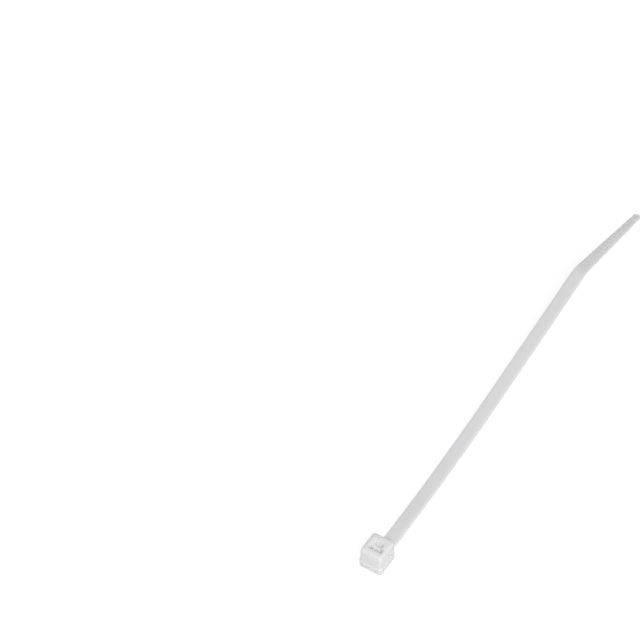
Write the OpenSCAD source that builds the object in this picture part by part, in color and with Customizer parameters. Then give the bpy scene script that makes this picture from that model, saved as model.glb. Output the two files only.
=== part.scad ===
// Self-locking cable tie, moulded in one piece, lying as it comes to rest: on the
// entry face of its head and on the tip of its tail, with the smooth side of the
// strap up. The strap runs along +X. The origin is the middle of the strap slot,
// on the entry face of the head.

/* [Overall] */
// Length along the strap, from the front of the head to the tip of the tail
tie_length = 200; // [160:5:300]

/* [Strap] */
// Width of the toothed strap
strap_w = 4.8; // [4.4:0.1:7.6]
// Thickness of the toothed strap
strap_t = 1.3; // [1.1:0.05:1.8]
// Rounding of the long edges of the strap
edge_r = 0.3; // [0.15:0.05:0.45]
// Width of the smooth rail on each side of the teeth
rail_w = 0.85; // [0.6:0.05:1.1]

/* [Teeth] */
// Distance from one tooth to the next
tooth_pitch = 1.25; // [1:0.05:1.6]
// Depth of the gaps between teeth, below the face of the rails
tooth_depth = 0.55; // [0.4:0.05:0.65]
// Distance of the tooth tips below the face of the rails
tooth_recess = 0.1; // [0.05:0.05:0.2]
// Length of the flat tip of a tooth
tooth_land = 0.3; // [0.15:0.05:0.4]
// Plain stretch of strap between the head and the first tooth
plain_neck = 12; // [6:1:25]
// Plain stretch of strap between the last tooth and the bend
plain_end = 3; // [1:1:10]

/* [Set of the strap] */
// Height of the underside of the strap above the table, where it leaves the head
root_lift = 0.5; // [0.2:0.1:0.9]
// Angle that the strap points down by, where it leaves the head
root_dip = 1.4; // [0:0.2:1.8]
// Length of the stretch beside the head that bows upwards, straight from there on
bow_run = 77; // [60:1:90]
// Angle that the bow turns the strap up by
bow_turn = 9.4; // [6:0.2:13]
// Radius of the bend that turns the tail down
bend_r = 14; // [8:1:30]

/* [Tail] */
// Length of the straight tail, from the bend to the tip
tail_run = 50; // [40:0.5:70]
// Width of the tail where it leaves the bend
tail_w = 4.5; // [3.8:0.1:4.6]
// Width of the tail at the tip, before it is rounded
tip_w = 2.8; // [2.4:0.1:3.6]
// Thickness of the tail at the tip
tip_t = 1; // [0.8:0.05:1.1]
// Length of the rounded nose of the tip
nose_l = 1.6; // [1:0.1:2.4]
// Distance from one grip rib to the next
rib_pitch = 3; // [2.4:0.1:3.2]
// Number of grip ribs on each side of the tail
rib_count = 10; // [6:1:10]
// Distance from the bend to the first grip rib
rib_start = 6; // [4:0.5:8]
// Width of a grip rib at its foot
rib_w = 1.1; // [0.8:0.1:1.4]
// Height of a grip rib
rib_rise = 0.18; // [0.1:0.02:0.3]
// Distance from the end of a rib to the edge of the tail
rib_inset = 0.45; // [0.35:0.05:0.6]

/* [Head] */
// Height of the head
head_h = 8.2; // [7.4:0.1:9]
// Wall in front of the slot
front_wall = 2.4; // [1.6:0.1:3]
// Wall between the pawl pocket and the strap
back_wall = 2.8; // [2:0.1:3.4]
// Wall on each side of the slot
side_wall = 1.5; // [1.2:0.1:2]
// Radius of the upright corners of the head
corner_r = 1; // [0.7:0.1:1.4]
// Rounding of the edges round the exit face
top_r = 1; // [0.4:0.1:1.1]
// Distance that each side of the head leans in over its height
draft = 0.05; // [0:0.05:0.3]
// Height of the rim round the entry face
rim_h = 2.5; // [2.2:0.1:3]
// Distance that the rim stands out from the head
rim_out = 0.3; // [0.1:0.05:0.4]
// Rounding of the edges of the rim
rim_r = 0.1; // [0.05:0.01:0.1]
// Radius of the fillet round the strap, where it joins the head
neck_r = 0.5; // [0.2:0.05:0.6]

/* [Slot and pawl] */
// Gap between the slot and each face of a strap that is threaded through it
slot_gap = 0.15; // [0.1:0.05:0.3]
// Gap between the slot and each edge of the strap
slot_side_gap = 0.2; // [0.1:0.05:0.35]
// Size of the chamfer that leads the tail into the slot
lead_in = 0.35; // [0.2:0.05:0.5]
// Thickness of the pawl
pawl_t = 1; // [0.8:0.1:1.3]
// Room behind the pawl for it to flex into
pawl_flex = 1.2; // [0.9:0.1:1.6]
// Height at which the pawl grows out of the head
pawl_root = 1.6; // [1.2:0.1:2.2]
// Distance of the end of the pawl below the exit face
pawl_drop = 1.1; // [0.8:0.1:1.6]
// Radius of the fillets at the foot of the pawl
hinge_r = 0.25; // [0.1:0.05:0.3]
// Depth to which the pawl reaches into the teeth of a strap
pawl_bite = 0.35; // [0.2:0.05:0.4]
// Gap between the pawl and the rails on each side of it
pawl_gap = 0.15; // [0.1:0.05:0.3]
// Gap between the pawl and the walls of its pocket
pocket_gap = 0.35; // [0.2:0.05:0.5]
// Number of teeth on the pawl
pawl_teeth = 3; // [2:1:3]

/* [Hidden] */

natural_nylon = [0.88, 0.88, 0.9, 0.85];

// Segments in an edge rounding of the strap, in an edge rounding or fillet of the head, in
// an upright corner, in the bow, in the bend and in the nose
edge_steps = 3;
round_steps = 4;
corner_steps = 6;
bow_steps = 20;
bend_steps = 6;
nose_steps = 6;
// Rounds in which the lean of the tail is settled
lean_rounds = 6;
// Largest rounding of the long edges, as a share of the strap's width or thickness
most_round = 0.45;
// Smallest radius of an upright corner that is drawn in round the exit face
least_r = 0.2;
// Angle at which the rounded nose ends in a small flat
nose_turn = 78;
// Depth that a piece reaches into the one that it grows from
sink = 0.3;
// Reach of a cut past the face that it starts from
over = 1;

slot_t = strap_t + 2 * slot_gap;
slot_w = strap_w + 2 * slot_side_gap;
channel_w = strap_w - 2 * rail_w;
pawl_w = channel_w - 2 * pawl_gap;
pocket_l = pawl_t + pawl_flex;
pocket_w = pawl_w + 2 * pocket_gap;

head_front = -slot_t / 2 - front_wall;
pocket_back = slot_t / 2 + pocket_l;
head_back = pocket_back + back_wall;
head_l = head_back - head_front;
head_mid = (head_back + head_front) / 2;
head_w = slot_w + 2 * side_wall;

// The strap starts at the back of the rim, with its middle at this height
strap_x = head_back + rim_out;
strap_z = root_lift + strap_t / 2;
root_in = rim_out + back_wall / 2;

// Angles of the steps of a rounding of the head
turns = [for (i = [0:round_steps]) 90 * i / round_steps];

// Length of the bend, between two slopes that differ by turn
function bend_l(turn) = bend_r * turn * PI / 180;

// Strap between the head and a bend at the distance run, as the place of its end
bow_r = bow_run * 180 / PI / bow_turn;
bow_mid = [strap_x, strap_z] + bow_r * [sin(root_dip), cos(root_dip)];
rise = bow_turn - root_dip;
bow_end = bow_mid + bow_r * [sin(rise), -cos(rise)];
function run_end(run) = bow_end + (run - bow_run) * [cos(rise), sin(rise)];

// The tail leans at the angle that lays the underside of its tip on the table. The bend
// takes its length from the run before it, so the angle is settled in a few rounds.
function tail_lean(run) = let (
        bend_mid_z = run_end(run)[1] - bend_r * cos(rise),
        drop = bend_r - tip_t / 2,
        reach = norm([drop, tail_run])
    ) acos(-bend_mid_z / reach) - atan2(tail_run, drop);
function settled_lean(lean, rounds) = rounds <= 0 ? lean :
    settled_lean(tail_lean(strap_l - tail_run - bend_l(rise + lean)), rounds - 1);

strap_l = tie_length - head_l - 2 * rim_out;
lean = settled_lean(rise, lean_rounds);
bend_turn = rise + lean;
run_l = strap_l - tail_run - bend_l(bend_turn);
tail_s = strap_l - tail_run;
bend_mid = run_end(run_l) + bend_r * [sin(rise), -cos(rise)];
tail_start = bend_mid + bend_r * [sin(lean), cos(lean)];

tooth_count = floor((run_l - plain_neck - plain_end) / tooth_pitch);
tooth_root_h = tooth_depth - strap_t / 2;
tooth_tip_h = tooth_recess - strap_t / 2;

// Slope of the strap at a distance s from the head, in degrees
function slope(s) = s < run_l ? bow_turn * max(0, min(s / bow_run, 1)) - root_dip :
    s < tail_s ? rise - bend_turn * (s - run_l) / (tail_s - run_l) :
    -lean;

// Middle of the strap at a distance s from the head, as [x, z]
function middle(s) = let (a = slope(s))
    s < 0 ? [strap_x, strap_z] + s * [cos(a), sin(a)] :
    s < bow_run ? bow_mid + bow_r * [sin(a), -cos(a)] :
    s < run_l ? run_end(s) :
    s < tail_s ? bend_mid + bend_r * [-sin(a), cos(a)] :
    tail_start + (s - tail_s) * [cos(a), sin(a)];

// Point at a distance s from the head and a height h above the middle of the strap
function strap_point(s, h) = middle(s) + h * [-sin(slope(s)), cos(slope(s))];

// The strap narrows over the bend, and the tail tapers from there to the tip
function share(s, from, to) = max(0, min((s - from) / (to - from), 1));
function width_at(s) = strap_w + (tail_w - strap_w) * share(s, run_l, tail_s)
    + (tip_w - tail_w) * share(s, tail_s, strap_l);
function thickness_at(s) = strap_t + (tip_t - strap_t) * share(s, tail_s, strap_l);

// Corner of a rounded rectangle: quarter number, centre, radius and segments
function quarter(q, mid, r, steps) =
    [for (k = [0:steps]) mid + r * [cos(90 * (q + k / steps)), sin(90 * (q + k / steps))]];

function rounded_outline(l, w, r, steps) = let (x = l / 2 - r, y = w / 2 - r)
    concat(quarter(0, [x, y], r, steps), quarter(1, [-x, y], r, steps),
        quarter(2, [-x, -y], r, steps), quarter(3, [x, -y], r, steps));

// Cross-section of the strap at station s, set up in space. Where it joins the head, it is
// thicker by grow at the top and on each side.
function strap_ring(s, w, grow = 0) = let (
        t = thickness_at(s) + grow,
        r = min(edge_r, most_round * w, most_round * t)
    ) [for (p = rounded_outline(w + 2 * grow, t, r, edge_steps))
        let (m = strap_point(s, p[1] + grow / 2)) [m[0], p[0], m[1]]];

// Stack of rings with the same number of points, closed at both ends
module loft(rings) {
    n = len(rings[0]);
    last = len(rings) - 1;
    polyhedron(
        points = [for (ring = rings) each ring],
        faces = concat(
            [[for (k = [0:n - 1]) k]],
            [for (i = [0:last - 1]) for (k = [0:n - 1])
                [i * n + k, (i + 1) * n + k, (i + 1) * n + (k + 1) % n]],
            [for (i = [0:last - 1]) for (k = [0:n - 1])
                [i * n + k, (i + 1) * n + (k + 1) % n, i * n + (k + 1) % n]],
            [[for (k = [0:n - 1]) last * n + n - 1 - k]]),
        convexity = 6);
}

// Upright plate that follows a side view of the strap, w wide about its middle
module side_plate(points, w) {
    translate([0, w / 2, 0])
        rotate([90, 0, 0])
            linear_extrude(w)
                polygon(points);
}

// Strap and tail, without teeth and ribs
module strap_blank() {
    nose_s = strap_l - nose_l;
    loft(concat(
        [strap_ring(-root_in, strap_w, neck_r)],
        [for (a = turns) strap_ring(neck_r * (1 - cos(a)), strap_w, neck_r * (1 - sin(a)))],
        [for (i = [1:bow_steps]) strap_ring(i * bow_run / bow_steps, strap_w)],
        [for (i = [0:bend_steps]) let (s = run_l + i * (tail_s - run_l) / bend_steps)
            strap_ring(s, width_at(s))],
        [for (i = [0:nose_steps])
            let (a = i * nose_turn / nose_steps, s = nose_s + nose_l * sin(a) / sin(nose_turn))
            strap_ring(s, width_at(s) * cos(a))]));
}

// Room between the rails, with the ladder teeth left standing in it. Each tooth has a
// steep face towards the head, which the pawl catches, and a ramp towards the tail.
module tooth_channel() {
    first = plain_neck;
    teeth = [for (i = [0:tooth_count - 1]) let (s = first + i * tooth_pitch)
        each [strap_point(s, tooth_root_h), strap_point(s, tooth_tip_h),
            strap_point(s + tooth_land, tooth_tip_h)]];
    end_s = first + tooth_count * tooth_pitch;
    below = [for (i = [0:bow_steps])
        strap_point(end_s + (first - end_s) * i / bow_steps, -strap_t / 2 - over)];
    side_plate(concat(teeth, [strap_point(end_s, tooth_root_h)], below), channel_w);
}

// Grip rib across one face of the tail, up = 1 for the smooth side and -1 for the other
module grip_rib(s, up) {
    h = thickness_at(s) / 2;
    foot = rib_w / 2;
    crest = rib_w / 4;
    side_plate([for (p = [[-foot, h], [-foot, h - sink], [foot, h - sink], [foot, h],
            [crest, h + rib_rise], [-crest, h + rib_rise]])
        strap_point(s + p[0], up * p[1])], width_at(s) - 2 * rib_inset);
}

module strap() {
    difference() {
        strap_blank();
        tooth_channel();
    }
    for (i = [0:rib_count - 1], up = [-1, 1])
        grip_rib(tail_s + rib_start + i * rib_pitch, up);
}

// Ring round the head at height z, drawn in by inset, or let out where that is below zero
function head_ring(z, inset) = [for (p = rounded_outline(head_l - 2 * inset, head_w - 2 * inset,
        max(corner_r - inset, least_r), corner_steps)) [p[0] + head_mid, p[1], z]];

// Distance that the sides of the head have leant in by at height z
function lean_in(z) = draft * z / head_h;

// Solid block of the head, with a rim round its foot
module head_block() {
    loft(concat(
        [for (a = turns) head_ring(rim_r * (1 - cos(a)), rim_r * (1 - sin(a)) - rim_out)],
        [for (a = turns) head_ring(rim_h - rim_r * (1 - sin(a)), rim_r * (1 - cos(a)) - rim_out)]));
    loft(concat(
        [head_ring(sink, lean_in(sink))],
        [for (a = turns) let (z = head_h - top_r * (1 - sin(a)))
            head_ring(z, lean_in(z) + top_r * (1 - cos(a)))]));
}

// Way for the strap through the head, with a chamfered mouth in the entry face
module strap_slot() {
    translate([-slot_t / 2, -slot_w / 2, -over])
        cube([slot_t, slot_w, head_h + 2 * over]);
    mouth = lead_in + over;
    loft([for (p = [[-over, mouth], [lead_in, 0]])
        [for (q = [[1, 1], [-1, 1], [-1, -1], [1, -1]])
            [q[0] * (slot_t / 2 + p[1]), q[1] * (slot_w / 2 + p[1]), p[0]]]]);
}

// Pocket that the pawl stands in, open to the slot and to the exit face
module pawl_pocket() {
    translate([0, -pocket_w / 2, pawl_root])
        cube([pocket_back, pocket_w, head_h]);
}

// Toothed finger that flexes at its foot. Its flat tooth tops face the exit and catch
// the steep faces of the strap's teeth, so that the strap runs through one way only.
module pawl() {
    nose_x = strap_t / 2 - pawl_bite;
    gap_x = nose_x + tooth_depth - tooth_recess;
    top = head_h - pawl_drop;
    foot = pawl_root - sink;
    back_x = pocket_back - pawl_flex / 2 + hinge_r;
    front_x = back_x - pawl_t - 2 * hinge_r;
    hinge_z = pawl_root + hinge_r;
    teeth = [for (i = [pawl_teeth - 1:-1:0]) let (z = top - i * tooth_pitch)
        each [[gap_x, z - tooth_pitch], [nose_x, z]]];
    side_plate(concat(
        [[front_x, foot]],
        quarter(3, [front_x, hinge_z], hinge_r, round_steps),
        teeth,
        [[gap_x + pawl_t, top]],
        quarter(2, [back_x, hinge_z], hinge_r, round_steps),
        [[back_x, foot]]), pawl_w);
}

module head() {
    difference() {
        head_block();
        strap_slot();
        pawl_pocket();
    }
    pawl();
}

module cable_tie() {
    color(natural_nylon) {
        head();
        strap();
    }
}

cable_tie();
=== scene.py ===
import math
import bpy
import bmesh
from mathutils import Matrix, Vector


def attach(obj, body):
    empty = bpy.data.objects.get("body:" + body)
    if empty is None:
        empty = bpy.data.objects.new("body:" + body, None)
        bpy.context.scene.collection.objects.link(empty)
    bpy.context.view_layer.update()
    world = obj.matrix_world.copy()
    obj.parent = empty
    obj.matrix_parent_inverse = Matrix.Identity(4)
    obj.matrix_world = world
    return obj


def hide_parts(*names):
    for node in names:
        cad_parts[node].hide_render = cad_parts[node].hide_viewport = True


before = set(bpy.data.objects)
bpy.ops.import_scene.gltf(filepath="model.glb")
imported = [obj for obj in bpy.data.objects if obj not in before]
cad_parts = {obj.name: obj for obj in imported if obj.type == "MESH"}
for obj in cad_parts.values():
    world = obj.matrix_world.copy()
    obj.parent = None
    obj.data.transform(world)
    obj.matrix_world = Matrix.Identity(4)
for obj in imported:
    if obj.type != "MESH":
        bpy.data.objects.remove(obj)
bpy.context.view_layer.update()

mm = 0.001

# The tie lies along +X, with the mouth of its slot at the origin. Its sizes are in mm.
tieLength = 200.0


class Wire:
    # a socket of a node tree that can be used in sums
    def __init__(self, board, socket):
        self.board = board
        self.socket = socket

    def math(self, operation, *others):
        values = dict(enumerate((self,) + others))
        return self.board.add("ShaderNodeMath", {"operation": operation}, values)

    def __add__(self, other):
        return self.math("ADD", other)

    def __radd__(self, other):
        return self.math("ADD", other)

    def __sub__(self, other):
        return self.math("SUBTRACT", other)

    def __rsub__(self, other):
        return self.board.add("ShaderNodeMath", {"operation": "SUBTRACT"}, {0: other, 1: self})

    def __mul__(self, other):
        return self.math("MULTIPLY", other)

    def __rmul__(self, other):
        return self.math("MULTIPLY", other)

    def __truediv__(self, other):
        return self.math("DIVIDE", other)

    def __mod__(self, other):
        return self.math("MODULO", other)

    def below(self, other):
        return self.math("LESS_THAN", other)

    def above(self, other):
        return self.math("GREATER_THAN", other)

    def between(self, low, high):
        return self.math("MAXIMUM", low).math("MINIMUM", high)

    def floor(self):
        return self.math("FLOOR")

    def sin(self):
        return self.math("SINE")

    def cos(self):
        return self.math("COSINE")


class Board:
    # a node tree with one way of adding nodes
    def __init__(self, tree):
        self.tree = tree

    def add(self, kind, settings=None, values=None, out=0):
        node = self.tree.nodes.new(kind)
        for name, setting in (settings or {}).items():
            if name == "items":  # how many an Index Switch has
                while len(node.index_switch_items) < setting:
                    node.index_switch_items.new()
            else:
                setattr(node, name, setting)
        for key, value in (values or {}).items():
            self.feed(node.inputs[key], value)
        return Wire(self, node.outputs[out]) if len(node.outputs) else node

    def feed(self, socket, value):
        if isinstance(value, list):  # a socket that takes several links
            for one in reversed(value):
                self.tree.links.new(one.socket, socket)
        elif isinstance(value, Wire):
            self.tree.links.new(value.socket, socket)
        else:
            socket.default_value = value

    def index(self):
        return self.add("GeometryNodeInputIndex")

    def read(self, name):
        return self.add("GeometryNodeInputNamedAttribute", {"data_type": "FLOAT"}, {"Name": name})

    def store(self, geometry, values):
        onPoints = {"data_type": "FLOAT", "domain": "POINT"}
        for name, value in values.items():
            geometry = self.add("GeometryNodeStoreNamedAttribute", onPoints, {
                "Geometry": geometry, "Name": name, "Value": value})
        return geometry

    def pick(self, index, items):
        # the item with that number
        return self.add("GeometryNodeIndexSwitch", {"data_type": "FLOAT", "items": len(items)},
                        {"Index": index, **{k + 1: item for k, item in enumerate(items)}})


def share(value, low, high):
    return ((value - low) / (high - low)).between(0.0, 1.0)


def quarterTurn(steps):
    return [math.pi / 2 * k / steps for k in range(steps + 1)]


def meshObject(name, mesh):
    piece = bpy.data.objects.new(name, mesh)
    bpy.context.scene.collection.objects.link(piece)
    return piece


def asPlainMesh(piece, name):
    # the piece with its modifiers taken in
    bpy.context.view_layer.update()
    evaluated = piece.evaluated_get(bpy.context.evaluated_depsgraph_get())
    mesh = bpy.data.meshes.new_from_object(evaluated)
    mesh.name = name
    piece.modifiers.clear()
    piece.data = mesh
    piece.name = name
    return piece


nylon = {
    "clear": (0.87, 0.87, 0.88),
    # the pale colour that the faint clouds are mixed towards, and that the head is painted towards
    # as painted light
    "milkyAndPaintedLight": (0.98, 0.98, 0.985),
    "headPaintedLight": 0.9,  # painted light: how much lighter the head's colour is made than the strap's, standing in for light scattered in its thick plastic and into its slot
    "cloudMilk": 0.2,  # how milky the faint clouds in the plastic look
    "cloudMix": 0.6,  # round clouds, the rest is drawn out along the strap
    "cloudRange": (0.3, 0.7),
    "cloudSize": 3.0,
    "flowSize": 1.5,
    "flowStretch": 8.0,  # along the strap, as the melt ran
    "grainSize": 0.35,
    "noiseDetail": 2.0,
    "roughness": 0.34,
    "roughnessSpread": 0.10,
    "scatter": 1.2,  # how far light gets before it is scattered
    "scatterShares": (1.0, 1.0, 0.95),  # of that way for red, green and blue
    "ior": 1.53,
    "bump": 0.006,
}


def nylonMaterial(paintedLightTo, unpaintedFrom):
    material = bpy.data.materials.new("naturalNylon")
    material.use_nodes = True
    material.node_tree.nodes.clear()
    board = Board(material.node_tree)
    place = board.add("ShaderNodeTexCoord", out="Object")
    drawn = board.add("ShaderNodeMapping", values={
        "Vector": place, "Scale": (1 / nylon["flowStretch"], 1.0, 1.0)})

    def noise(spot, size):
        return board.add("ShaderNodeTexNoise", values={
            "Vector": spot, "Scale": 1 / (size * mm), "Detail": nylon["noiseDetail"]})

    cloud = noise(place, nylon["cloudSize"])
    flow = noise(drawn, nylon["flowSize"])
    grain = noise(place, nylon["grainSize"])
    x = board.add("ShaderNodeSeparateXYZ", values={"Vector": place}) / mm
    # painted light: 1 over the head, fading to 0 across the neck, so that the head is coloured
    # lighter in place of the light that gathers in its thick plastic and its slot
    paintedLightMask = 1 - share(x, paintedLightTo, unpaintedFrom)
    mixed = cloud * nylon["cloudMix"] + flow * (1 - nylon["cloudMix"])
    patches = share(mixed, *nylon["cloudRange"])
    # the plastic's own faint clouds, plus the head's painted light
    milkAndPaintedLight = patches * nylon["cloudMilk"] + paintedLightMask * nylon["headPaintedLight"]
    # this node takes its colours at sockets 6 and 7 and gives the mix at 2
    colour = board.add("ShaderNodeMix", {"data_type": "RGBA"}, {
        "Factor": milkAndPaintedLight, 6: (*nylon["clear"], 1), 7: (*nylon["milkyAndPaintedLight"], 1)}, out=2)
    roughness = nylon["roughness"] + nylon["roughnessSpread"] * (flow - 0.5)
    normal = board.add("ShaderNodeBump", values={
        "Height": (grain + flow) / 2, "Strength": 1.0, "Distance": nylon["bump"] * mm})
    shader = board.add("ShaderNodeBsdfPrincipled", values={
        "Base Color": colour, "Roughness": roughness, "Normal": normal, "IOR": nylon["ior"],
        "Subsurface Weight": 1.0, "Subsurface Radius": nylon["scatterShares"],
        "Subsurface Scale": nylon["scatter"] * mm})
    board.add("ShaderNodeOutputMaterial", values={"Surface": shader})
    print("nylon, milky up to", round(paintedLightTo, 2), "mm")
    return material


head = {
    "height": 8.2,
    "frontWall": 2.4,
    "backWall": 2.8,
    "sideWall": 1.5,
    "cornerRadius": 1.0,
    "innerRadius": 0.3,  # least radius of a corner, where the top is rounded in
    "topRadius": 1.0,
    "draft": 0.05,
    "rimHeight": 2.5,
    "rimOut": 0.3,
    "rimEdge": 0.1,
    "cornerSteps": 10,
    "edgeSteps": 4,
}
slot = {
    "length": 1.6,
    "width": 5.2,
    "leadIn": 0.35,
    "lip": 0.16,  # softened edge round the exit
    "corner": 0.18,
    "cornerSteps": 4,
    "pocketLength": 2.2,
    "pocketWidth": 3.5,
    "pocketFloor": 1.6,
    "pocketEdge": 0.15,
    "over": 0.5,  # reach of the cuts past the head
}
pawl = {
    "width": 2.8,
    "thickness": 1.0,
    "flexRoom": 1.2,
    "drop": 1.1,
    "nose": 0.3,  # distance of the tooth tips from the middle of the slot
    "toothHeight": 0.45,
    "pitch": 1.25,
    "teeth": 3,
    "hinge": 0.25,  # fillets at the foot
    "edge": 0.08,
    "sink": 0.3,
}
headFront = -slot["length"] / 2 - head["frontWall"]
pocketBack = slot["length"] / 2 + slot["pocketLength"]
headBack = pocketBack + head["backWall"]


def loft(name, rings):
    # closed skin over rings of points
    bm = bmesh.new()
    rows = [[bm.verts.new(Vector(p) * mm) for p in ring] for ring in rings]
    for low, high in zip(rows, rows[1:]):
        for k in range(len(low)):
            n = (k + 1) % len(low)
            bm.faces.new((low[k], low[n], high[n], high[k]))
    bm.faces.new(list(reversed(rows[0])))
    bm.faces.new(rows[-1])
    bmesh.ops.recalc_face_normals(bm, faces=bm.faces)
    mesh = bpy.data.meshes.new(name)
    bm.to_mesh(mesh)
    bm.free()
    return meshObject(name, mesh)


def ringAt(z, mid, length, width, radius, steps):
    # rounded rectangle at height z
    ring = []
    for quarter, (sx, sy) in enumerate(((1, 1), (-1, 1), (-1, -1), (1, -1))):
        corner = Vector((mid + sx * (length / 2 - radius), sy * (width / 2 - radius)))
        for turn in quarterTurn(steps):
            a = turn + math.pi / 2 * quarter
            ring.append((corner.x + radius * math.cos(a), corner.y + radius * math.sin(a), z))
    return ring


def combine(base, tool, operation):
    modifier = base.modifiers.new("combine", "BOOLEAN")
    modifier.operation = operation
    modifier.solver = "EXACT"
    modifier.object = tool
    asPlainMesh(base, base.name)
    bpy.data.objects.remove(tool)
    return base


def headView():
    # side view of the head, as heights and distances in from the face of the rim
    rim, out, top, rimTop = head["rimEdge"], head["rimOut"], head["topRadius"], head["rimHeight"]
    hollow = out - rim
    turns = quarterTurn(head["edgeSteps"])
    view = [(rim * (1 - math.cos(a)), rim * (1 - math.sin(a))) for a in turns]
    view += [(rimTop - rim * (1 - math.sin(a)), rim * (1 - math.cos(a))) for a in turns]
    view += [(rimTop + hollow * (1 - math.cos(a)), rim + hollow * math.sin(a)) for a in turns[1:]]
    for a in turns:
        z = head["height"] - top * (1 - math.sin(a))
        view.append((z, out + head["draft"] * z / head["height"] + top * (1 - math.cos(a))))
    return view


def cutter(name, mid, length, width, view):
    # tool for a cut through the exit face, which gets a softened edge
    lip, over = slot["lip"], slot["over"]
    flare = [(head["height"] - lip * (1 - math.sin(a)), lip * (1 - math.cos(a)))
             for a in quarterTurn(head["edgeSteps"])]
    rings = []
    for z, grow in view + flare + [(head["height"] + over, lip)]:
        radius = slot["corner"] + max(grow, 0)
        rings.append(ringAt(z, mid, length + 2 * grow, width + 2 * grow, radius,
                            slot["cornerSteps"]))
    return loft(name, rings)


def makeHead():
    mid = (headFront + headBack) / 2
    width = slot["width"] + 2 * head["sideWall"]
    rings = []
    for z, inset in headView():
        grow = head["rimOut"] - inset
        radius = max(head["cornerRadius"] + grow, head["innerRadius"])
        rings.append(ringAt(z, mid, headBack - headFront + 2 * grow, width + 2 * grow, radius,
                            head["cornerSteps"]))
    body = loft("head", rings)
    mouth = [(-slot["over"], slot["leadIn"] + slot["over"]), (slot["leadIn"], 0)]
    body = combine(body, cutter("slotCut", 0, slot["length"], slot["width"], mouth), "DIFFERENCE")
    edge = slot["pocketEdge"]
    floor = [(slot["pocketFloor"], -edge), (slot["pocketFloor"] + edge, 0)]
    pocket = cutter("pocketCut", pocketBack / 2, pocketBack, slot["pocketWidth"], floor)
    body = combine(body, pocket, "DIFFERENCE")
    body = combine(body, makePawl(), "UNION")
    print("head with slot and pawl:", len(body.data.polygons), "faces")
    return body


def makePawl():
    nose, soft, hinge = pawl["nose"], pawl["edge"], pawl["hinge"]
    gap = nose + pawl["toothHeight"]
    back = gap + pawl["thickness"]
    top = head["height"] - pawl["drop"]
    foot = slot["pocketFloor"] - pawl["sink"]
    hingeAt = slot["pocketFloor"] + hinge
    backX = pocketBack - pawl["flexRoom"] / 2 + hinge
    frontX = backX - pawl["thickness"] - 2 * hinge
    turns = quarterTurn(head["edgeSteps"])
    # up the back, over the top and down the teeth
    side = [(backX, foot)]
    side += [(backX - hinge * math.sin(a), hingeAt - hinge * math.cos(a)) for a in turns]
    side += [(back, top - soft), (back - soft, top)]
    for k in range(pawl["teeth"]):
        z = top - k * pawl["pitch"]
        side += [(nose + soft / 2, z), (nose, z - soft / 2), (gap, z - pawl["pitch"])]
    side += [(frontX + hinge * math.sin(a), hingeAt - hinge * math.cos(a)) for a in reversed(turns)]
    side.append((frontX, foot))
    middle = sum((Vector(p) for p in side), Vector((0, 0))) / len(side)
    half = pawl["width"] / 2
    rings = []
    for y, shrink in ((-half, soft), (-half + soft, 0), (half - soft, 0), (half, soft)):
        moved = [Vector(p) + (middle - Vector(p)).normalized() * shrink for p in side]
        rings.append([(p.x, y, p.y) for p in moved])
    return loft("pawl", rings)


# Sizes that the strap's tree takes as its inputs
strap = {
    "Start": headBack + head["rimOut"],
    "Root in": head["rimOut"] + head["backWall"] / 2,
    "Length": tieLength - (headBack - headFront) - 2 * head["rimOut"],
    "Width": 4.8,
    "Thickness": 1.3,
    "Edge radius": 0.3,
    "Lift": 0.5,
    "Neck radius": 0.5,
    "Plain neck": 12.0,
    "Rail": 0.85,
    "Tooth pitch": 1.25,
    "Tooth depth": 0.55,
    "Tooth recess": 0.1,
    "Tooth land": 0.3,
    "Tooth edge": 0.05,
    "Plain end": 3.0,
    "Dip": math.radians(1.4),
    "Bow run": 77.0,
    "Bow turn": math.radians(9.4),
    "Bend radius": 14.0,
    "Tail run": 50.0,
    "Tail width": 4.5,
    "Tip width": 2.8,
    "Tip thickness": 1.0,
    "Nose": 1.6,
    "Nose turn": math.radians(78),
    "Nose thickness": 0.45,  # at the end of the nose, as a share of the tip's
    "Rib start": 6.0,
    "Rib pitch": 3.0,
    "Rib width": 1.1,
    "Rib rise": 0.18,
    "Rib edge": 0.03,
    "Rib inset": 0.45,
    "Rib end": 0.12,
}
ribCount = 10
strapSteps = {"neck": 6, "plain": 8, "bend": 16, "nose": 10, "edge": 4, "settling": 8}
zoneSpan = 10000  # more points than any zone of the strap has
toothEdge = {"steep": 0.4, "slope": 3.0}  # where its edges start, in softened edges
ribFlank = 0.25  # of the rib's width


def settleStrap():
    # what the strap's sizes lead to: its slopes, its run to the bend and the number of its teeth
    bowRadius = strap["Bow run"] / strap["Bow turn"]
    rise = strap["Bow turn"] - strap["Dip"]
    radius = strap["Bend radius"]
    startHeight = strap["Lift"] + strap["Thickness"] / 2
    bowHeight = startHeight + bowRadius * (math.cos(strap["Dip"]) - math.cos(rise))
    drop = radius - strap["Tip thickness"] / 2
    reach = math.hypot(drop, strap["Tail run"])
    lean = rise
    for _ in range(strapSteps["settling"]):
        run = strap["Length"] - strap["Tail run"] - radius * (rise + lean)
        midHeight = bowHeight + (run - strap["Bow run"]) * math.sin(rise) - radius * math.cos(rise)
        lean = math.acos(-midHeight / reach) - math.atan2(strap["Tail run"], drop)
    teeth = math.floor((run - strap["Plain neck"] - strap["Plain end"]) / strap["Tooth pitch"])
    return {"Start height": startHeight, "Rise": rise, "Lean": lean, "Run": run}, teeth


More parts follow.
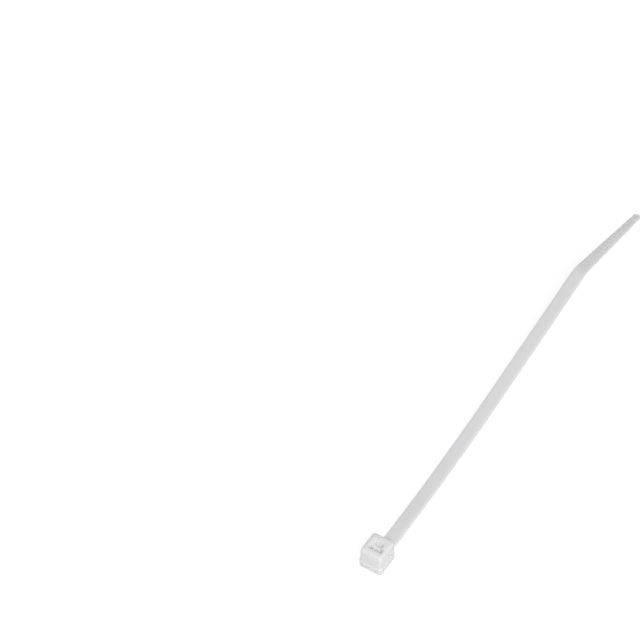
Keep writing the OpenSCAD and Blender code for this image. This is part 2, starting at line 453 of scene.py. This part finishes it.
def strapStations(board, size):
    # a straight line of points, one for each cross-section, with what the section looks like
    i = board.index
    steps = strapSteps
    tailStart = size["Length"] - size["Tail run"]
    neckRadius = size["Neck radius"]
    neckTurn = i() * (math.pi / 2 / steps["neck"])
    pitch, depth, recess = size["Tooth pitch"], size["Tooth depth"], size["Tooth recess"]
    land, soft = size["Tooth land"], size["Tooth edge"]
    # one tooth: its steep face, its land and its long slope, with the edges between them softened
    steepRun = soft * toothEdge["steep"]
    slopeRun = soft * toothEdge["slope"]
    toothPlaces = [0.0, steepRun, soft, land - soft, land + soft, pitch - slopeRun, pitch - soft]
    toothHeights = [depth, recess + soft, recess, recess, recess + soft / 2, depth - soft / 2,
                    depth]
    toothStep = i() % len(toothPlaces)
    toothPlace = (i() / len(toothPlaces)).floor() * pitch + board.pick(toothStep, toothPlaces)
    teethEnd = size["Plain neck"] + size["Teeth"] * pitch
    afterTeeth = teethEnd + soft / 2
    neckEnd = size["Plain neck"] - soft * 2
    # one rib: up one flank, over its flat top and down the other flank
    width, flank, soften = size["Rib width"], size["Rib width"] * ribFlank, size["Rib edge"]
    low, high = size["Rib rise"] * soften / flank, size["Rib rise"] * (1 - soften / flank)
    ribPlaces = [soften * -1.0, soften, flank - soften, flank + soften,
                 width - flank - soften, width - flank + soften, width - soften, width + soften]
    ribHeights = [0.0, low, high, size["Rib rise"], size["Rib rise"], high, low, 0.0]
    ribStep = i() % len(ribPlaces)
    ribsFrom = tailStart + size["Rib start"] - width / 2
    ribPlace = (i() / len(ribPlaces)).floor() * size["Rib pitch"] + board.pick(ribStep, ribPlaces)
    ribsEnd = ribsFrom + (size["Ribs"] - 1) * size["Rib pitch"] + width + soften * 2
    noseFrom = size["Length"] - size["Nose"]
    noseTurn = i() * size["Nose turn"] / steps["nose"]
    noseReach = size["Nose"] * noseTurn.sin() / size["Nose turn"].sin()

    def evenly(low, high, count):
        return low + i() * ((high - low) / count)

    zones = [
        (1, {"along": size["Root in"] * -1.0, "neck": neckRadius}),
        (steps["neck"], {"along": neckRadius * (1 - neckTurn.cos()),
                         "neck": neckRadius * (1 - neckTurn.sin())}),
        (steps["plain"] + 1, {"along": evenly(neckRadius, neckEnd, steps["plain"])}),
        (size["Teeth"] * len(toothPlaces), {"along": size["Plain neck"] + toothPlace,
                                            "tooth": board.pick(toothStep, toothHeights)}),
        (1, {"along": teethEnd, "tooth": depth}),
        (steps["plain"], {"along": evenly(afterTeeth, size["Run"], steps["plain"])}),
        (steps["bend"], {"along": evenly(size["Run"], tailStart, steps["bend"])}),
        (steps["plain"], {"along": evenly(tailStart, ribsFrom - soften, steps["plain"])}),
        (size["Ribs"] * len(ribPlaces), {"along": ribsFrom + ribPlace,
                                         "rib": board.pick(ribStep, ribHeights)}),
        (steps["plain"], {"along": evenly(ribsEnd, noseFrom, steps["plain"])}),
        (steps["nose"] + 1, {"along": noseFrom + noseReach, "narrow": noseTurn.cos()}),
    ]
    lines = []
    for number, (count, values) in enumerate(zones):
        points = board.add("GeometryNodePoints", values={"Count": count})
        plain = {"tooth": 0.0, "rib": 0.0, "neck": 0.0, "narrow": 1.0}
        lines.append(board.store(points, {"order": i() + number * zoneSpan, **plain, **values}))
    together = board.add("GeometryNodeJoinGeometry", values={"Geometry": lines})
    line = board.add("GeometryNodePointsToCurves", values={
        "Points": together, "Weight": board.read("order")})
    return board.add("GeometryNodeSetPosition", values={
        "Geometry": line, "Position": board.add("ShaderNodeCombineXYZ", values={"X": i()})})


def strapSection(board, size):
    # the outline across the strap: its rounded corners, the edges of the ribs and those of the
    # tooth channel; whole numbers are told apart at the halves between them
    i = board.index
    perCorner = strapSteps["edge"] + 1
    perFace = 4  # points from side to side on each face
    perSide = perCorner + perFace
    corner = (i() / perCorner).floor()  # right top, left top, left bottom, right bottom
    step = i() % perCorner
    turn = step * (math.pi / 2 / strapSteps["edge"])
    odd = corner % 2
    inwards = 1 - (odd * turn.sin() + (1 - odd) * turn.cos())
    downwards = 1 - (odd * turn.cos() + (1 - odd) * turn.sin())
    corners = board.store(board.add("GeometryNodePoints", values={"Count": 4 * perCorner}), {
        "side": 1 - 2 * corner.above(0.5) * corner.below(2.5), "up": 1 - 2 * corner.above(1.5),
        "inset": size["Edge radius"] * inwards, "drop": size["Edge radius"] * downwards,
        "floor": 0.0, "face": 0.0, "turnOrder": corner * perSide + step})
    under = (i() / perFace).floor()
    place = i() % perFace
    inner = place.above(0.5) * place.below(2.5)
    flats = board.store(board.add("GeometryNodePoints", values={"Count": 2 * perFace}), {
        "side": (1 - 2 * place.above(1.5)) * (1 - 2 * under), "up": 1 - 2 * under,
        "inset": 0.0, "drop": 0.0, "floor": inner * under, "face": 1 + inner,
        "turnOrder": under * (2 * perSide) + perCorner + place})
    together = board.add("GeometryNodeJoinGeometry", values={"Geometry": [corners, flats]})
    ring = board.add("GeometryNodePointsToCurves", values={
        "Points": together, "Weight": board.read("turnOrder")})
    turn = i() * (2 * math.pi / (4 * perCorner + 2 * perFace))
    circle = board.add("ShaderNodeCombineXYZ", values={"X": turn.cos(), "Y": turn.sin()})
    ring = board.add("GeometryNodeSetPosition", values={"Geometry": ring, "Position": circle})
    return board.add("GeometryNodeSetSplineCyclic", values={"Geometry": ring, "Cyclic": True})


def strapPlace(board, size):
    # where each point goes, from its distance along the strap and its place in the section
    s = board.read("along")
    tailStart = size["Length"] - size["Tail run"]
    overBend = share(s, size["Run"], tailStart)
    overTail = share(s, tailStart, size["Length"])
    onTail = s.above(size["Run"])
    width = size["Width"] + (size["Tail width"] - size["Width"]) * overBend \
        + (size["Tip width"] - size["Tail width"]) * overTail
    thickness = size["Thickness"] + (size["Tip thickness"] - size["Thickness"]) * overTail
    face, narrow, neck = board.read("face"), board.read("narrow"), board.read("neck")
    side, up, drop = board.read("side"), board.read("up"), board.read("drop")
    edge = size["Rail"] + (size["Rib inset"] - size["Rail"]) * onTail
    faceInset = face.above(0.5) * (edge + size["Rib end"] * (face - 1) * onTail)
    y = side * ((width / 2 - board.read("inset") - faceInset) * narrow + neck)
    flatter = size["Nose thickness"] + (1 - size["Nose thickness"]) * narrow
    onTop = up.above(0.0) * (1 - drop / size["Edge radius"])
    h = up * (thickness / 2 - drop) * flatter + board.read("floor") * board.read("tooth") \
        + up * face.above(1.5) * board.read("rib") + onTop * neck

    # the line of the strap: a bow, a straight run, the bend and the straight tail
    dip, rise, lean, radius = size["Dip"], size["Rise"], size["Lean"], size["Bend radius"]
    bowRadius = size["Bow run"] / size["Bow turn"]
    bowSlope = s.between(0.0, size["Bow run"]) / bowRadius - dip
    bendSlope = rise - (s.between(size["Run"], tailStart) - size["Run"]) / radius
    inHead = s.math("MINIMUM", 0.0)
    run = s.between(size["Bow run"], size["Run"]) - size["Bow run"]
    tail = s.math("MAXIMUM", tailStart) - tailStart
    x = size["Start"] + inHead * dip.cos() + bowRadius * (bowSlope.sin() + dip.sin()) \
        + run * rise.cos() + radius * (rise.sin() - bendSlope.sin()) + tail * lean.cos()
    z = size["Start height"] - inHead * dip.sin() + bowRadius * (dip.cos() - bowSlope.cos()) \
        + run * rise.sin() + radius * (bendSlope.cos() - rise.cos()) - tail * lean.sin()
    slope = bowSlope + bendSlope - rise
    return board.add("ShaderNodeCombineXYZ", values={
        "X": (x - h * slope.sin()) * mm, "Y": y * mm, "Z": (z + h * slope.cos()) * mm})


def strapTree(material):
    tree = bpy.data.node_groups.new("tieStrap", "GeometryNodeTree")
    board = Board(tree)
    settled, teeth = settleStrap()
    values = {**strap, **settled, "Ribs": ribCount, "Teeth": teeth}
    identifiers = {}
    for name, value in values.items():
        kind = "NodeSocketInt" if isinstance(value, int) else "NodeSocketFloat"
        entry = tree.interface.new_socket(name, in_out="INPUT", socket_type=kind)
        identifiers[name] = entry.identifier
    tree.interface.new_socket("Strap", in_out="OUTPUT", socket_type="NodeSocketGeometry")
    size = {name: board.add("NodeGroupInput", out=name) for name in values}
    line, ring = strapStations(board, size), strapSection(board, size)
    bar = board.add("GeometryNodeCurveToMesh", values={
        "Curve": line, "Profile Curve": ring, "Fill Caps": True})
    bar = board.add("GeometryNodeSetPosition", values={
        "Geometry": bar, "Position": strapPlace(board, size)})
    bar = board.add("GeometryNodeRealizeInstances", values={"Geometry": bar})
    bar = board.add("GeometryNodeSetMaterial", values={"Geometry": bar, "Material": material})
    board.add("NodeGroupOutput", values={"Strap": bar})
    lean = round(math.degrees(settled["Lean"]), 2)
    print("strap with", teeth, "teeth, tail leaning", lean, "degrees")
    return tree, {identifiers[name]: value for name, value in values.items()}


def makeStrap(material):
    tree, inputs = strapTree(material)
    piece = meshObject("strap", bpy.data.meshes.new("strap"))
    modifier = piece.modifiers.new("strap", "NODES")
    modifier.node_group = tree
    for identifier, value in inputs.items():
        modifier[identifier] = value
    piece = asPlainMesh(piece, "strap")
    attributes = piece.data.attributes
    for name in [a.name for a in attributes if not a.is_required and a.name != "material_index"]:
        attributes.remove(attributes[name])
    print("strap:", len(piece.data.polygons), "faces")
    return piece


tie = {"merge": 0.0005, "sharpFrom": 38}  # mm and degrees


def makeTie():
    # the head is painted lighter, as painted light, up to the strap's start
    material = nylonMaterial(strap["Start"], strap["Start"] + strap["Neck radius"])
    piece = combine(makeHead(), makeStrap(material), "UNION")
    piece.name = "cableTie"
    piece.data.materials.clear()
    piece.data.materials.append(material)
    bm = bmesh.new()
    bm.from_mesh(piece.data)
    bmesh.ops.remove_doubles(bm, verts=bm.verts, dist=tie["merge"] * mm)
    for face in bm.faces:
        face.smooth = True
        face.material_index = 0
    openEdges = [e for e in bm.edges if len(e.link_faces) != 2]
    volume = bm.calc_volume() / mm ** 3
    bm.to_mesh(piece.data)
    bm.free()
    piece.data.set_sharp_from_angle(angle=math.radians(tie["sharpFrom"]))
    faces = len(piece.data.polygons)
    print("tie:", faces, "faces,", len(openEdges), "open edges,", round(volume, 1), "mm3")
    return piece


stage = {
    "size": 4.0,  # m
    "gap": 0.02,  # mm below the tie, so that the two faces never meet
    "white": 0.8,
    "glow": 1.21,  # with the paper's share in it, the open floor comes out just white
    "shadowShare": 0.3,  # how much of the paper, and so of the shadow on it, shows
    "shadowWithin": (0.16, 0.35),  # m from the head, over which the shadow fades out
}


def seenDirectly(board):
    # 1 for what the camera or a reflection looks at, 0 for the light that falls on things
    camera, glossy, transmission = (board.add("ShaderNodeLightPath", out=name) for name in (
        "Is Camera Ray", "Is Glossy Ray", "Is Transmission Ray"))
    return (camera + glossy + transmission).between(0.0, 1.0)


def makeFloor():
    material = bpy.data.materials.new("whitePaper")
    material.use_nodes = True
    material.node_tree.nodes.clear()
    board = Board(material.node_tree)
    white = stage["white"]
    paper = board.add("ShaderNodeBsdfDiffuse", values={"Color": (white, white, white, 1)})
    bright = board.add("ShaderNodeEmission", values={
        "Color": (1, 1, 1, 1), "Strength": stage["glow"]})
    place = board.add("ShaderNodeTexCoord", out="Object")
    away = board.add("ShaderNodeVectorMath", {"operation": "LENGTH"}, {0: place}, out="Value")
    shade = (1 - share(away, *stage["shadowWithin"])) * stage["shadowShare"]
    surface = board.add("ShaderNodeMixShader", values={
        0: seenDirectly(board) * (1 - shade), 1: paper, 2: bright})
    board.add("ShaderNodeOutputMaterial", values={"Surface": surface})
    material.cycles.emission_sampling = "NONE"  # it lights nothing

    half, z = stage["size"] / 2, -stage["gap"] * mm
    corners = [(-half, -half, z), (half, -half, z), (half, half, z), (-half, half, z)]
    mesh = bpy.data.meshes.new("floor")
    mesh.from_pydata(corners, [], [(0, 1, 2, 3)])
    mesh.materials.append(material)
    meshObject("floor", mesh)
    print("floor", stage["size"], "m wide")


# The key stands close to the camera, so that nothing in view is in its shadow
roomLight = 0.35
lightBounces = 24  # nylon hands light on many times, and so it gets into the slot
lampAim = Vector((0.09, 0.0, 0.0))
lamps = {
    "key": {"place": (-0.575, -0.367, 0.733), "size": 0.25, "power": 4.4},
    "fill": {"place": (0.1, -0.9, 0.35), "size": 0.5, "power": 0.8},
}


def makeLight():
    room = bpy.data.worlds.new("whiteRoom")
    room.use_nodes = True
    room.node_tree.nodes.clear()
    board = Board(room.node_tree)
    strength = roomLight + (1 - roomLight) * seenDirectly(board)
    light = board.add("ShaderNodeBackground", values={"Color": (1, 1, 1, 1), "Strength": strength})
    board.add("ShaderNodeOutputWorld", values={"Surface": light})
    bpy.context.scene.world = room
    for name, sizes in lamps.items():
        lamp = bpy.data.lights.new(name, "AREA")
        lamp.shape = "SQUARE"
        lamp.size = sizes["size"]
        lamp.energy = sizes["power"]
        holder = bpy.data.objects.new(name, lamp)
        place = Vector(sizes["place"])
        holder.location = lampAim + place
        holder.rotation_euler = (-place).to_track_quat("-Z", "Y").to_euler()
        bpy.context.scene.collection.objects.link(holder)
    bpy.context.scene.cycles.max_bounces = lightBounces
    bpy.context.scene.cycles.diffuse_bounces = lightBounces
    print("light: room and", len(lamps), "lamps")


shot = {
    "aim": (82.066, 73.883, 0.0),
    "distance": 716.29,
    "elevation": math.radians(47.132),
    "turn": math.radians(32.604),  # of the line of sight from the strap, seen from above
    "lens": 109.96,
    "sensor": 36.0,
    "clip": (0.01, 20.0),  # m
}


def makeCamera():
    level = math.cos(shot["elevation"])
    ahead = Vector((math.cos(shot["turn"]) * level, math.sin(shot["turn"]) * level,
                    -math.sin(shot["elevation"])))
    camera = bpy.data.cameras.new("camera")
    camera.sensor_width = shot["sensor"]
    camera.lens = shot["lens"]
    camera.clip_start, camera.clip_end = shot["clip"]
    holder = bpy.data.objects.new("camera", camera)
    holder.location = (Vector(shot["aim"]) - ahead * shot["distance"]) * mm
    holder.rotation_euler = ahead.to_track_quat("-Z", "Y").to_euler()
    bpy.context.scene.collection.objects.link(holder)
    bpy.context.scene.camera = holder
    print("camera", round(holder.location.z, 3), "m above the floor")


makeCamera()
makeLight()
makeFloor()
cableTie = makeTie()
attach(cableTie, "root")
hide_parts("cable_tie")

bpy.context.scene.view_settings.view_transform = "Standard"
